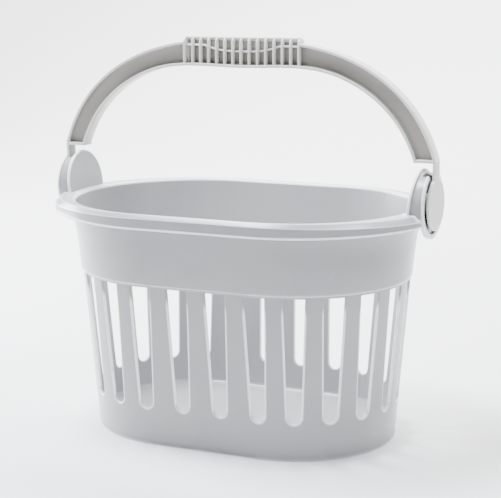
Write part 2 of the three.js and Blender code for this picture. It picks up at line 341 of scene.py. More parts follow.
@dataclass(frozen=True)
class MouldedPolypropylene:
    """Injection-moulded polypropylene: a waxy satin skin, faintly translucent, over a spark-eroded grain.

    The grain breaks up the reflections of the lamps, and the thin walls let a little light through.
    Sharp edges are painted paler, partly as wear and partly as painted highlight, and pockets and corners are
    darkened with painted shade.
    """

    name: str
    colour: str
    streak_colour: str
    # The pale edge colour is partly wear and partly painted highlight.
    wear_and_highlight_colour: str
    # The dark pocket colour is painted shade.
    painted_shade_colour: str
    roughness: float = 0.25
    pale_edge_roughness: float = 0.3
    # Scuffs make the skin a little smoother here and duller there.
    roughness_drop: float = 0.015
    roughness_rise: float = 0.025
    # How sharp an edge is where its pale colour, partly wear and partly painted highlight, starts and where
    # it is full; a flat face is at 0.5.
    pale_edge_from: float = 0.508
    pale_edge_at: float = 0.523
    glow: float = 0.06
    # Light that goes in comes out again within about this reach.
    glow_mm: float = 2.0
    # Spark erosion leaves pits of about 0.1 mm, drawn at 0.9 mm so that they show at this picture's size.
    grain_mm: float = 0.9
    grain_depth_mm: float = 0.1
    grain_strength: float = 0.04
    # Melt cools in soft bands as it fills the mould.
    flow_mm: float = 42.0
    # Fine scuffs from handling.
    scuff_mm: float = 6.0
    # Painted shade: an occlusion mask darkens pockets and corners within about this reach.
    shade_reach_mm: float = 9.0

    def build(self) -> Material:
        """Make the material; a mix takes numbers at inputs 2 and 3, and colours at 6 and 7 with output 2."""
        made = bpy.data.materials.new(self.name)
        add = partial(add_node, cleared(made))
        where = add("TexCoord").outputs["Object"]
        flow = add("TexNoise", {
            "Vector": where, "Scale": 1 / (self.flow_mm * MM), "Detail": 3.0, "Roughness": 0.55,
            "Distortion": 0.6,
        })
        tone = add("MapRange", {"Value": flow, "From Min": 0.35, "From Max": 0.7})
        tinted = add("Mix", {
            "Factor": tone, "6": linear(self.colour), "7": linear(self.streak_colour),
        }, data_type="RGBA")
        # Painted shade: ambient occlusion darkens pockets and corners towards the dark pocket colour.
        nook = add("AmbientOcclusion", {"Distance": self.shade_reach_mm * MM}, samples=8)
        painted_shade_mask = add("MapRange", {
            "Value": nook.outputs["AO"], "From Min": 0.2, "From Max": 0.75, "To Min": 1.0, "To Max": 0.0,
        })
        painted_shade_tint = add("Mix", {
            "Factor": painted_shade_mask, "6": tinted.outputs[2], "7": linear(self.painted_shade_colour),
        }, data_type="RGBA")
        # Partly wear, partly painted highlight: sharp edges, found by pointiness, are painted pale.
        edge = add("NewGeometry").outputs["Pointiness"]
        pale_edge_mask = add("MapRange", {"Value": edge, "From Min": self.pale_edge_from, "From Max": self.pale_edge_at})
        scuff = add("TexNoise", {
            "Vector": where, "Scale": 1 / (self.scuff_mm * MM), "Detail": 4.0, "Roughness": 0.6,
        })
        uneven = add("MapRange", {"Value": scuff, "From Min": 0.3, "From Max": 0.7, "To Min": 0.85})
        wear_and_highlight = add("Math", {"0": pale_edge_mask, "1": uneven}, operation="MULTIPLY")
        colour = add("Mix", {
            "Factor": wear_and_highlight, "6": painted_shade_tint.outputs[2], "7": linear(self.wear_and_highlight_colour),
        }, data_type="RGBA")
        dull = add("MapRange", {
            "Value": scuff, "From Min": 0.3, "From Max": 0.75,
            "To Min": self.roughness - self.roughness_drop, "To Max": self.roughness + self.roughness_rise,
        })
        rough = add("Mix", {"Factor": wear_and_highlight, "2": dull, "3": self.pale_edge_roughness})
        grain = add("TexNoise", {
            "Vector": where, "Scale": 1 / (self.grain_mm * MM), "Detail": 2.0, "Roughness": 0.5,
        })
        bump = add("Bump", {
            "Height": grain, "Strength": self.grain_strength, "Distance": self.grain_depth_mm * MM,
        })
        skin = add("BsdfPrincipled", {
            "Base Color": colour.outputs[2], "Roughness": rough, "Normal": bump,
            "IOR": 1.49, "Subsurface Weight": self.glow, "Subsurface Scale": self.glow_mm * MM,
            "Subsurface Radius": (1.0, 0.95, 0.9),
        })
        add("OutputMaterial", {"Surface": skin})
        return made


class Finish(Enum):
    """The two colours of polypropylene that the mouldings are made in."""

    # In both finishes the pale edge colour is partly wear and partly painted highlight, and the dark pocket
    # colour is painted shade.
    TUB = MouldedPolypropylene(
        name="injection_moulded_polypropylene_cool_grey",
        colour="#9f9f9f", streak_colour="#9b9b9c", wear_and_highlight_colour="#f4f5f6", painted_shade_colour="#77777a",
    )
    HANDLE = MouldedPolypropylene(
        name="injection_moulded_polypropylene_warm_grey",
        colour="#a6a29b", streak_colour="#a29e96", wear_and_highlight_colour="#dddbd7", painted_shade_colour="#6f6b63",
        roughness=0.24,
    )


@dataclass(frozen=True)
class BackgroundPaper:
    """Matt background paper: even and pale, with a fibre too fine to draw the eye."""

    colour: str = "#dadada"
    fibre_mm: float = 1.1

    def build(self) -> Material:
        """Make the material."""
        made = bpy.data.materials.new("matt_background_paper")
        add = partial(add_node, cleared(made))
        where = add("TexCoord").outputs["Object"]
        fibre = add("TexNoise", {"Vector": where, "Scale": 1 / (self.fibre_mm * MM), "Detail": 2.0})
        bump = add("Bump", {"Height": fibre, "Strength": 0.03, "Distance": 0.0001})
        skin = add("BsdfPrincipled", {
            "Base Color": linear(self.colour), "Roughness": 0.9, "Normal": bump,
        })
        add("OutputMaterial", {"Surface": skin})
        return made


# The basket


@dataclass
class Tub:
    """The slotted tub with its foot, floor, step, band and turned-down rim.

    Sizes are millimetres, radii are those of the round ends, and a levels field lists the heights at which
    a surface has rows of points.
    """

    straight_half: float = 44.0
    wall: float = 2.2
    # The foot ring and the recess inside it
    foot_radius: float = 76.8
    foot_edge: float = 0.9
    foot_levels: Numbers = (4.0, 9.0, 14.0)
    recess_gap: float = 0.3
    recess_cove: float = 1.2
    recess_edge: float = 0.4
    recess_levels: Numbers = (3.0, 1.5)
    # The floor and its drain holes, each with a flat ring that keeps the floor's triangles off its edge
    floor_top: float = 7.4
    floor_fillet: float = 3.5
    floor_margin: float = 1.2
    floor_levels: Numbers = (16.0, 13.0)
    drain_radius: float = 3.0
    drain_row: float = 20.0
    drain_round: float = 0.4
    drain_flat: float = 0.8
    drain_facets: int = 32
    drain_pitches: Numbers = (-1.5, -0.5, 0.5, 1.5)
    # A ring of facets lies a little inside its circle.
    facet_share: float = 0.992
    # The slotted wall, a grid of cells with one slot in each
    draft: float = 0.0845
    slot_pitch: float = 31.0
    slot_count: int = 24
    slot_foot: float = 29.4
    slot_top: float = 124.6
    slot_top_growth: float = 0.2
    slot_half_top: float = 8.0
    slot_half_foot: float = 5.3
    slot_round: float = 1.4
    slot_inner_round: float = 0.7
    cell_foot: float = 19.0
    cell_columns: int = 10
    cell_rows: int = 12
    cell_shares: Numbers = (0.0, 0.45, 0.85)
    # The step and the plain band above it
    step_height: float = 125.1
    step_rise: float = 2.1
    step_facets: int = 8
    band_radius: float = 88.61
    band_draft: float = 0.107
    band_levels: Numbers = (
        130.0, 136.0, 144.0, 152.0, 158.0, 163.0, 167.5, 171.0, 174.0, 176.3, 177.7,
    )
    inner_upper_draft: float = 0.124
    inner_levels: Numbers = (174.0, 168.0, 160.0, 150.0, 140.0, 131.0)
    # The ends flare out under the rim.
    cove_start: float = 152.0
    cove_reach: float = 9.5
    cove_power: float = 2.4
    cove_round: Flat = (0.5, 0.3)
    # The rim: an upturned U whose outer side ends in a bead, with longer and higher ends
    rim_top: float = 181.0
    rim_radius: float = 98.4
    rim_foot: float = 169.6
    rim_slope: float = 3.0
    rim_edge: float = 0.9
    rim_lip: float = 1.8
    rim_lip_facets: int = 6
    rim_ceiling: float = 178.6
    rim_inner: float = 94.6
    rim_inner_drop: float = 2.8
    rim_bead: float = 0.45
    # The bead's rows as (distance out from the side, rise above the rim's foot)
    bead_rows: tuple[Flat, ...] = ((0.45, 1.5), (0.13, 1.9), (0.0, 2.4))
    # The corner under the ceiling as (distance in from the lip, drop from the ceiling)
    ceiling_rows: tuple[Flat, ...] = ((0.9, 0.0), (0.25, 0.3), (0.0, 0.9))
    rim_inside_rise: float = 3.0
    rim_inside_lift_share: float = 0.6
    rim_end_extra: float = 12.6
    rim_end_lift: float = 2.2
    rim_end_share: float = 1.5
    rim_end_inset: float = 0.8
    rim_end_sink: float = 1.6
    rim_sink_start: float = 171.0
    rim_front: float = 150.8
    rim_front_softness: float = 0.35
    rim_front_slope: float = 0.6

    @property
    def quarter(self) -> float:
        """Length of a quarter of the plan on the pitch line."""
        return self.slot_pitch * self.slot_count / 4

    @property
    def pitch_radius(self) -> float:
        """Radius of the round ends on which the slots are evenly spaced."""
        return (self.quarter - self.straight_half) / QUARTER_TURN

    @property
    def floor_under(self) -> float:
        """Height of the floor's underside."""
        return self.floor_top - self.wall

    def length_at(self, station: float, radius: float) -> float:
        """True length from the middle of a side to a station of the pitch line, at another radius."""
        if station <= self.straight_half:
            return station
        return self.straight_half + (station - self.straight_half) * radius / self.pitch_radius

    def fold(self, station: float, quadrant: int) -> float:
        """A station measured from the middle of its side, in a quadrant."""
        folded = station - quadrant * self.quarter
        return self.quarter - folded if quadrant % 2 else folded

    def plan(self, station: float, radius: float, extra: float = 0.0, offset: float = 0.0) -> Flat:
        """A point of the plan.

        Args:
            station: distance along the pitch line from the middle of the front, anticlockwise.
            radius: radius of the round ends there.
            extra: how much longer the ends are than round.
            offset: true distance from the station along the wall.

        Returns:
            x and y in millimetres.
        """
        quadrant = min(int(station / self.quarter + NUDGE), 3)
        shift = -offset if quadrant % 2 else offset
        length = self.length_at(self.fold(station, quadrant), radius) + shift
        if length <= self.straight_half:
            x, y = length, -radius
        else:
            angle = (length - self.straight_half) / radius
            x = self.straight_half + (radius + extra) * math.sin(angle)
            y = -radius * math.cos(angle)
        return (-x if quadrant in (2, 3) else x), (-y if quadrant in (1, 2) else y)

    def outer(self, height: float) -> float:
        """Radius of the slotted wall's outside."""
        return self.foot_radius + self.draft * height

    def inner(self, height: float) -> float:
        """Radius of the wall's inside."""
        lower = min(height, self.step_height)
        upper = max(height - self.step_height, 0.0)
        return self.foot_radius - self.wall + self.draft * lower + self.inner_upper_draft * upper

    def band(self, height: float) -> float:
        """Radius of the plain band's outside."""
        return self.band_radius + self.band_draft * (height - self.step_height - self.step_rise)

    def cove(self, height: float) -> float:
        """How far the ends flare under the rim's shelf."""
        share = max((height - self.cove_start) / (self.rim_ceiling - self.cove_start), 0.0)
        return self.cove_reach * share ** self.cove_power

    def held_back(self, x: float, front: float) -> float:
        """x, held back softly at the flat that carries the collar."""
        over = x - front
        return front + 0.5 * (over - math.sqrt(over * over + self.rim_front_softness ** 2))

    def ring(
        self, radius: float, height: float, extra: float = 0.0, lift: float = 0.0, front: float = 0.0,
    ) -> Row:
        """One level of the plan, with points at every column of every cell.

        Args:
            radius: radius of the round ends.
            height: height of the level at the middle of the sides.
            extra: how much longer the ends are than round.
            lift: how much higher the level is at the tips of the ends.
            front: where the tips are cut flat, or 0 for no cut.

        Returns:
            The points, anticlockwise from the middle of the front.
        """
        row = []
        for cell in range(self.slot_count):
            start = cell * self.slot_pitch
            quadrant = int(start / self.quarter + NUDGE)
            low = self.length_at(self.fold(start, quadrant), radius)
            high = self.length_at(self.fold(start + self.slot_pitch, quadrant), radius)
            sign = -1 if quadrant % 2 else 1
            for column in range(self.cell_columns):
                length = blend(low, high, column / self.cell_columns)
                x, y = self.plan(start, radius, extra, (length - low) * sign)
                tip = max(abs(x) - self.straight_half, 0.0) / (radius + extra)
                if front:
                    x = math.copysign(self.held_back(abs(x), front), x)
                row.append((x, y, height + lift * tip ** 2))
        return row

    def slot_outline(self, grow: float) -> list[Flat]:
        """The slot's outline, (along the wall, height), anticlockwise from its lower left.

        Args:
            grow: how far the outline stands outside the clear opening.

        Returns:
            As many points as a cell has around it.
        """
        half_foot = self.slot_half_foot + grow
        half_top = self.slot_half_top + grow
        centre = self.slot_foot + self.slot_half_foot
        top = self.slot_top + min(grow, self.slot_top_growth)
        shares = steps(0.0, 1.0, self.cell_rows)
        side = [(blend(half_foot, half_top, share), blend(centre, top, share)) for share in shares]
        points = arc((0.0, centre), half_foot, steps(math.pi, FULL_TURN, self.cell_columns)[:-1])
        points += side[:-1]
        points += [(half_top * share, top) for share in steps(1.0, -1.0, self.cell_columns)[:-1]]
        return points + [(-along, z) for along, z in side[:0:-1]]

    def cell_edge(self, cell: int, depth: float) -> list[Flat]:
        """Points around one cell as (offset from its middle, height), in the order of slot_outline.

        Args:
            cell: the cell's number.
            depth: how far the level lies inside the wall's outside.

        Returns:
            The points.
        """
        start = cell * self.slot_pitch
        middle = start + self.slot_pitch / 2
        quadrant = int(middle / self.quarter + NUDGE)
        heights = steps(self.cell_foot, self.step_height, self.cell_rows)

        def reach(height: float, station: float) -> float:
            radius = self.outer(height) - depth
            to, at = self.fold(station, quadrant), self.fold(middle, quadrant)
            gap = self.length_at(to, radius) - self.length_at(at, radius)
            return -gap if quadrant % 2 else gap

        left = [(reach(z, start), z) for z in heights]
        right = [(reach(z, start + self.slot_pitch), z) for z in heights]
        shares = steps(0.0, 1.0, self.cell_columns)
        points = [(blend(left[0][0], right[0][0], share), heights[0]) for share in shares[:-1]]
        points += right[:-1]
        points += [(blend(left[-1][0], right[-1][0], share), heights[-1]) for share in shares[:0:-1]]
        return points + left[:0:-1]

    def cell_rings(self, cell: int) -> list[Row]:
        """Loops of points from a cell's outer edge through its slot to its inner edge."""
        middle = (cell + 0.5) * self.slot_pitch

        def loop(share: float, grow: float, depth: float) -> Row:
            points = []
            for (edge, edge_z), (along, z) in zip(self.cell_edge(cell, depth), self.slot_outline(grow)):
                height = blend(edge_z, z, share)
                x, y = self.plan(middle, self.outer(height) - depth, 0.0, blend(edge, along, share))
                points.append((x, y, height))
            return points

        big, small = self.slot_round, self.slot_inner_round
        rings = [loop(share, big, 0.0) for share in self.cell_shares]
        rings += [loop(1.0, back, depth) for back, depth in quarter_round(big, 4)]
        rings += [loop(1.0, back, self.wall - depth) for back, depth in reversed(quarter_round(small, 3))]
        return rings + [loop(share, small, self.wall) for share in reversed(self.cell_shares)]

    def foot_rows(self) -> list[Row]:
        """Levels from the floor's underside, round the foot, up to the slotted wall."""
        under, cove, edge = self.floor_under, self.recess_cove, self.recess_edge
        recess = self.foot_radius - self.wall - self.recess_gap
        rows = [self.ring(recess - cove - self.floor_margin, under)]
        rows += [self.ring(recess - back, under - depth) for back, depth in quarter_round(cove, 3)]
        rows += [self.ring(recess, z) for z in self.recess_levels]
        rows += [self.ring(recess + edge - b, d) for b, d in reversed(quarter_round(edge, 2))]
        rows += [self.ring(self.outer(self.foot_edge) - b, d) for b, d in quarter_round(self.foot_edge, 4)]
        return rows + [self.ring(self.outer(z), z) for z in (*self.foot_levels, self.cell_foot)]

    def rim_shoulder(self) -> list[Flat]:
        """The slope between the rim's side and top, as (distance back, drop from the top)."""
        edge, eighth = self.rim_edge, math.pi / 4
        reach = self.rim_slope + edge * math.tan(eighth / 2)
        lower = [(edge * (1 - math.cos(t)), reach - edge * math.sin(t)) for t in steps(0.0, eighth, 4)]
        turns = steps(eighth, QUARTER_TURN, 4)
        upper = [(reach - edge * math.cos(t), edge * (1 - math.sin(t))) for t in turns]
        return lower + [(self.rim_slope / 2, self.rim_slope / 2)] + upper

    def band_rows(self) -> list[Row]:
        """Levels from the step, in its S-curve, up the band to the rim's ceiling."""
        rows = []
        for share in steps(0.0, 1.0, self.step_facets):
            radius = blend(self.outer(self.step_height), self.band_radius, share * share * (3 - 2 * share))
            rows.append(self.ring(radius, self.step_height + self.step_rise * share))
        ceiling, start = self.rim_ceiling, self.rim_sink_start
        for z in self.band_levels:
            sink = self.rim_end_sink * max(z - start, 0.0) / (ceiling - start)
            rows.append(self.ring(self.band(z), z, self.cove(z), -sink))
        out, along = self.cove_round
        rows.append(self.ring(self.band(ceiling) + out, ceiling, self.cove_reach + along, -self.rim_end_sink))
        return rows

    def rim_rows(self) -> list[Row]:
        """Levels from the step, up the band, round the rim and down inside to the slotted wall."""
        end, lift, front = self.rim_end_extra, self.rim_end_lift, self.rim_front
        lip, foot, held = self.rim_lip, self.rim_foot, front - self.rim_lip
        inside = self.rim_radius - lip
        rows = self.band_rows()
        for back, drop in self.ceiling_rows:
            extra = end - self.rim_end_inset if back else end
            rows.append(self.ring(inside - back, self.rim_ceiling - drop, extra, -self.rim_end_sink, held))
        higher = lift * self.rim_inside_lift_share
        rows.append(self.ring(inside, foot + self.rim_inside_rise, end, higher, held))
        turns = steps(math.pi, FULL_TURN, self.rim_lip_facets)
        for radius, z in arc((self.rim_radius - lip / 2, foot + lip / 2), lip / 2, turns):
            rows.append(self.ring(radius, z, end, lift, front + radius - self.rim_radius))
        side = self.rim_radius - self.rim_bead
        rows += [self.ring(side + out, foot + rise, end, lift, front) for out, rise in self.bead_rows]
        more = self.rim_end_share - 1.0
        for back, drop in self.rim_shoulder():
            rows.append(self.ring(
                side - back, self.rim_top - drop, end - more * back, -more * drop,
                front - back * self.rim_front_slope,
            ))
        turn_height = self.rim_top - self.rim_inner_drop
        run = self.rim_inner - self.inner(turn_height)
        for turn in steps(QUARTER_TURN, 0.0, self.rim_lip_facets):
            radius = self.rim_inner - run * math.cos(turn)
            rows.append(self.ring(radius, turn_height + self.rim_inner_drop * math.sin(turn)))
        return rows + [self.ring(self.inner(z), z) for z in (*self.inner_levels, self.step_height)]

    def floor_rows(self) -> list[Row]:
        """Levels from the slotted wall's foot, down inside and round the fillet to the floor."""
        top, fillet = self.floor_top, self.floor_fillet
        corner = self.inner(top + fillet)
        rows = [self.ring(self.inner(z), z) for z in (self.cell_foot, *self.floor_levels)]
        rows += [self.ring(corner - back, top + drop) for back, drop in reversed(quarter_round(fillet, 5))]
        return rows + [self.ring(corner - fillet - self.floor_margin, top)]

    def drains(self) -> list[Flat]:
        """Centres of the drain holes in the floor."""
        places = [self.slot_pitch * share for share in self.drain_pitches]
        return [(x, side * self.drain_row) for side in (-1, 1) for x in places]

    def fill_floor(self, shell: Shell, border: Sequence[int], holes: dict[Flat, list[int]]) -> None:
        """Fill a flat floor face between its border and the drain holes.

        Args:
            shell: the surface that it belongs to.
            border: the border's point numbers.
            holes: the point numbers round each hole, by the hole's centre.
        """
        numbers: list[int] = []
        edges: list[tuple[int, int]] = []
        for loop in [list(border), *holes.values()]:
            start, count = len(numbers), len(loop)
            numbers.extend(loop)
            edges += [(start + i, start + (i + 1) % count) for i in range(count)]
        inside = (self.drain_radius + self.drain_round + self.drain_flat) * self.facet_share
        flat = [Vector(shell.points[n][:2]) for n in numbers]
        found, _, faces, origins, _, _ = delaunay_2d_cdt(flat, edges, [], 1, 1e-4)
        for face in faces:
            middle = sum((found[i] for i in face), Vector((0, 0))) / len(face)
            if all((middle - Vector(centre)).length >= inside for centre in holes):
                shell.faces.append(tuple(numbers[origins[i][0]] for i in face))

    def surface(self) -> Shell:
        """The whole tub as one closed surface."""
        shell = Shell()
        foot = shell.loft(self.foot_rows())
        shell.loft(self.rim_rows())
        floor = shell.loft(self.floor_rows())
        for cell in range(self.slot_count):
            shell.loft(self.cell_rings(cell))
        top, under, hole = self.floor_top, self.floor_under, self.drain_radius
        edge = quarter_round(self.drain_round, 3)
        wide = hole + self.drain_round + self.drain_flat
        profile = [(wide, top)] + [(hole + back, top - depth) for back, depth in edge]
        profile += [(hole + back, under + depth) for back, depth in reversed(edge)] + [(wide, under)]
        turns = steps(0.0, FULL_TURN, self.drain_facets)[:-1]
        upper: dict[Flat, list[int]] = {}
        lower: dict[Flat, list[int]] = {}
        for centre in self.drains():
            lines = shell.loft([[(x, y, z) for x, y in arc(centre, radius, turns)] for radius, z in profile])
            upper[centre], lower[centre] = lines[0], lines[-1]
        self.fill_floor(shell, floor[-1], upper)
        self.fill_floor(shell, foot[0], lower)
        return shell


class Path(Enum):
    """How a line of an ear's surface runs below the pivot: straight down, or on round the pivot."""

    UPRIGHT = "upright"
    ROUND = "round"


@dataclass
class Ear:
    """A round ear on the rim: inner plate, neck, open cup, collar and pivot stub.

    Sizes are millimetres. Places along the pivot's axis are those of the right-hand ear, and the plate's
    are those at the rim's top, because it leans out.
    """

    pivot: float = 185.7
    rim_top: float = 181.0
    wall: float = 2.2
    # The plate, with a flat ring inside its round edge
    face: float = 139.8
    lean: float = 0.103
    plate_radius: float = 26.3
    plate_foot: float = 179.2
    plate_flat: float = 2.0
    plate_round: float = 0.8
    plate_back_round: float = 0.5
    # The neck, with its fillet as (growth of the radius, distance from the plate)
    neck_radius: float = 24.8
    neck_foot: float = 174.8
    neck_fillet: tuple[Flat, ...] = ((0.5, 0.0), (0.15, 0.2), (0.0, 0.6))
    neck_upright: float = 6.0
    neck_rows: Numbers = (1.3, 0.9, 0.0)
    # The cup
    cup_radius: float = 22.8
    cup_floor: float = 176.8
    cup_mouth: float = 0.6
    cup_cove: float = 0.8
    # The collar; its lower half has a back plate of its own.
    collar_back: float = 150.8
    collar_face: float = 152.5
    collar_radius: float = 25.5
    collar_hole: float = 21.8
    collar_round: float = 0.5
    collar_back_round: float = 0.3
    back_plate: float = 1.4
    back_plate_round: float = 0.4
    lower_overlap: float = 0.3
    lower_facets: int = 44
    # The notch at the top, in which the handle's strap passes
    notch_half: float = 12.0
    notch_foot: float = 200.0
    notch_face: float = 146.2
    notch_slip: float = math.radians(0.35)
    stub_radius: float = 5.0
    stub_face: float = 152.3
    stub_round: float = 0.6
    arc_steps: int = 56
    side_steps: int = 5

    def line(
        self, radius: float, x: float, foot: float, path: Path = Path.UPRIGHT, lean: float = 0.0,
    ) -> Row:
        """One line round the ear, from its foot at the front, over the top, to its foot at the back.

        Args:
            radius: distance from the pivot's axis.
            x: place along the pivot's axis at the rim's top.
            foot: height at which both ends stop.
            path: how the line runs below the pivot.
            lean: how far it leans out with height.

        Returns:
            The points.
        """
        def out(z: float) -> float:
            return x + lean * (z - self.rim_top)

        side = []
        for share in steps(1.0, 0.0, self.side_steps)[:-1]:
            if path is Path.UPRIGHT:
                side.append((radius, blend(self.pivot, foot, share)))
            else:
                down = math.asin((self.pivot - foot) / radius) * share
                side.append((radius * math.cos(down), self.pivot - radius * math.sin(down)))
        notch = math.acos(self.notch_half / self.collar_radius)
        turns = steps(0.0, math.pi, self.arc_steps)
        for edge in (notch, math.pi - notch):
            turns += [edge - self.notch_slip, edge + self.notch_slip]
        points = [(out(z), -y, z) for y, z in side]
        for t in sorted(turns):
            y, z = -radius * math.cos(t), self.pivot + radius * math.sin(t)
            if notch < t < math.pi - notch and x > self.notch_face and z > self.notch_foot:
                held = min(max(radius, self.cup_radius), self.neck_radius)
                points.append((self.notch_face, -held * math.cos(t), self.pivot + held * math.sin(t)))
            else:
                points.append((out(z), y, z))
        return points + [(out(z), y, z) for y, z in reversed(side)]

    def upper(self, shell: Shell) -> None:
        """The part above the rim's shelf: plate, neck, collar and cup."""
        back_face, collar, hole = self.face + self.wall, self.collar_radius, self.collar_hole
        leaning = [(self.plate_radius - self.plate_flat, self.face)]
        leaning += [(self.plate_radius - b, self.face + d) for b, d in quarter_round(self.plate_round, 4)]
        leaning += [(self.plate_radius - b, back_face - d)
                    for b, d in reversed(quarter_round(self.plate_back_round, 3))]
        leaning += [(self.neck_radius + grow, back_face + out) for grow, out in self.neck_fillet]
        rows = [self.line(radius, x, self.plate_foot, lean=self.lean) for radius, x in leaning]
        upright = [self.face + self.neck_upright] + [self.collar_back - back for back in self.neck_rows]
        rows += [self.line(self.neck_radius, x, self.neck_foot) for x in upright]
        edge = quarter_round(self.collar_round, 4)
        ring = [(collar - b, self.collar_back + d) for b, d in quarter_round(self.collar_back_round, 2)]
        ring += [(collar - b, self.collar_face - d) for b, d in reversed(edge)]
        ring += [(hole + b, self.collar_face - d) for b, d in edge] + [(hole, self.collar_back)]
        rows += [self.line(radius, x, self.cup_floor, Path.ROUND) for radius, x in ring]
        for x in (self.collar_back - self.cup_mouth, self.face + self.neck_upright):
            rows.append(self.line(self.cup_radius, x, self.cup_floor))
        for cove in (self.cup_cove, 0.0):
            radius = self.cup_radius - self.cup_cove + cove
            rows.append(self.line(radius, back_face + cove, self.cup_floor, lean=self.lean))
        shell.solid(rows, closed=False)

    def lower(self, shell: Shell) -> None:
        """The half of the collar that hangs below the shelf, with its back plate."""
        below = self.pivot - self.cup_floor - self.lower_overlap
        collar, hole, cove = self.collar_radius, self.collar_hole, self.back_plate_round
        back, edge = self.collar_back - self.back_plate, quarter_round(self.collar_round, 4)
        profile = [(collar - b, back + d) for b, d in quarter_round(cove, 3)]
        profile += [(collar - b, self.collar_face - d) for b, d in reversed(edge)]
        profile += [(hole + b, self.collar_face - d) for b, d in edge]
        profile += [(hole, self.collar_back + cove), (hole - cove, self.collar_back)]
        rows = []
        for radius, x in profile:
            start = math.asin(below / radius)
            turns = steps(-start, start - math.pi, self.lower_facets)
            rows.append([(x, y, z) for y, z in arc((0.0, self.pivot), radius, turns)])
        shell.solid(rows, closed=False)

    def cup_room(self) -> Shell:
        """The space that the open cup takes out of the rim, with some room to spare at both ends."""
        shell = Shell()
        radius, spare, clear = (self.cup_radius + self.neck_radius) / 2, 2.0, 0.1
        places = (self.face + self.wall + self.cup_mouth, self.notch_face - clear)
        rows = [self.line(radius, x, self.cup_floor) for x in places]
        rows.append([(self.collar_back + spare, y, z) for _, y, z in rows[0]])
        shell.solid(rows, closed=False)
        return shell

    def surface(self) -> Shell:
        """The whole ear at the right-hand end, with its pivot stub."""
        shell = Shell()
        self.upper(shell)
        self.lower(shell)
        tip = reversed(quarter_round(self.stub_round, 3))
        profile = [(self.stub_radius, self.face + self.wall / 2)]
        profile += [(self.stub_radius - back, self.stub_face - depth) for back, depth in tip]
        shell.spin(profile, self.pivot)
        return shell


@dataclass
class Basket:
    """The basket moulding: the tub and its two ears."""

    tub: Tub
    ear: Ear

    def build(self, material: Material) -> None:
        """Make and place the basket's pieces in one finish."""
        room = self.ear.cup_room()
        rooms = [room.mesh("room_right"), room.turned().mesh("room_left")]
        tub = cut_away(self.tub.surface().mesh("tub_whole"), rooms, "basket_tub")
        ear = self.ear.surface()
        for mesh in (tub, ear.mesh("basket_ear_right"), ear.turned().mesh("basket_ear_left")):
            place(mesh, "basket", material, "basket")


# The handle


